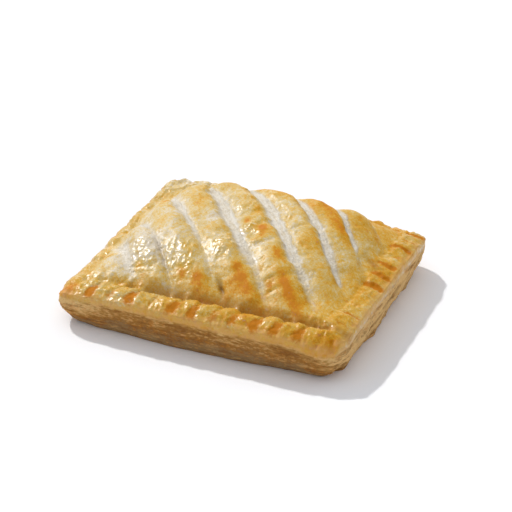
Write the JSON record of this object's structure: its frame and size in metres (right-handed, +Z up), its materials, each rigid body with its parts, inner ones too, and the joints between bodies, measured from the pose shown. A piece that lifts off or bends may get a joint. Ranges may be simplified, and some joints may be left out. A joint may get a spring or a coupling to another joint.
{
  "type": "steak bake",
  "caption": "Baked puff-pastry parcel with a thick crimped rim, a glazed lid swollen by its filling and slashed aslant, and a flat base.",
  "frame": {"origin": "the middle of the parcel's box, on the table it stands on", "axes": "+X along the parcel's length, +Y from the front edge to the back edge, +Z up"},
  "size_m": [0.1266, 0.11, 0.0358],
  "materials": {
    "crust": "satin egg-glazed golden-brown puff pastry, unglazed and pale in the slashes, drier and browner down the walls"
  },
  "bodies": {
    "root": {"pastry_parcel": "crust"}
  },
  "joints": []
}
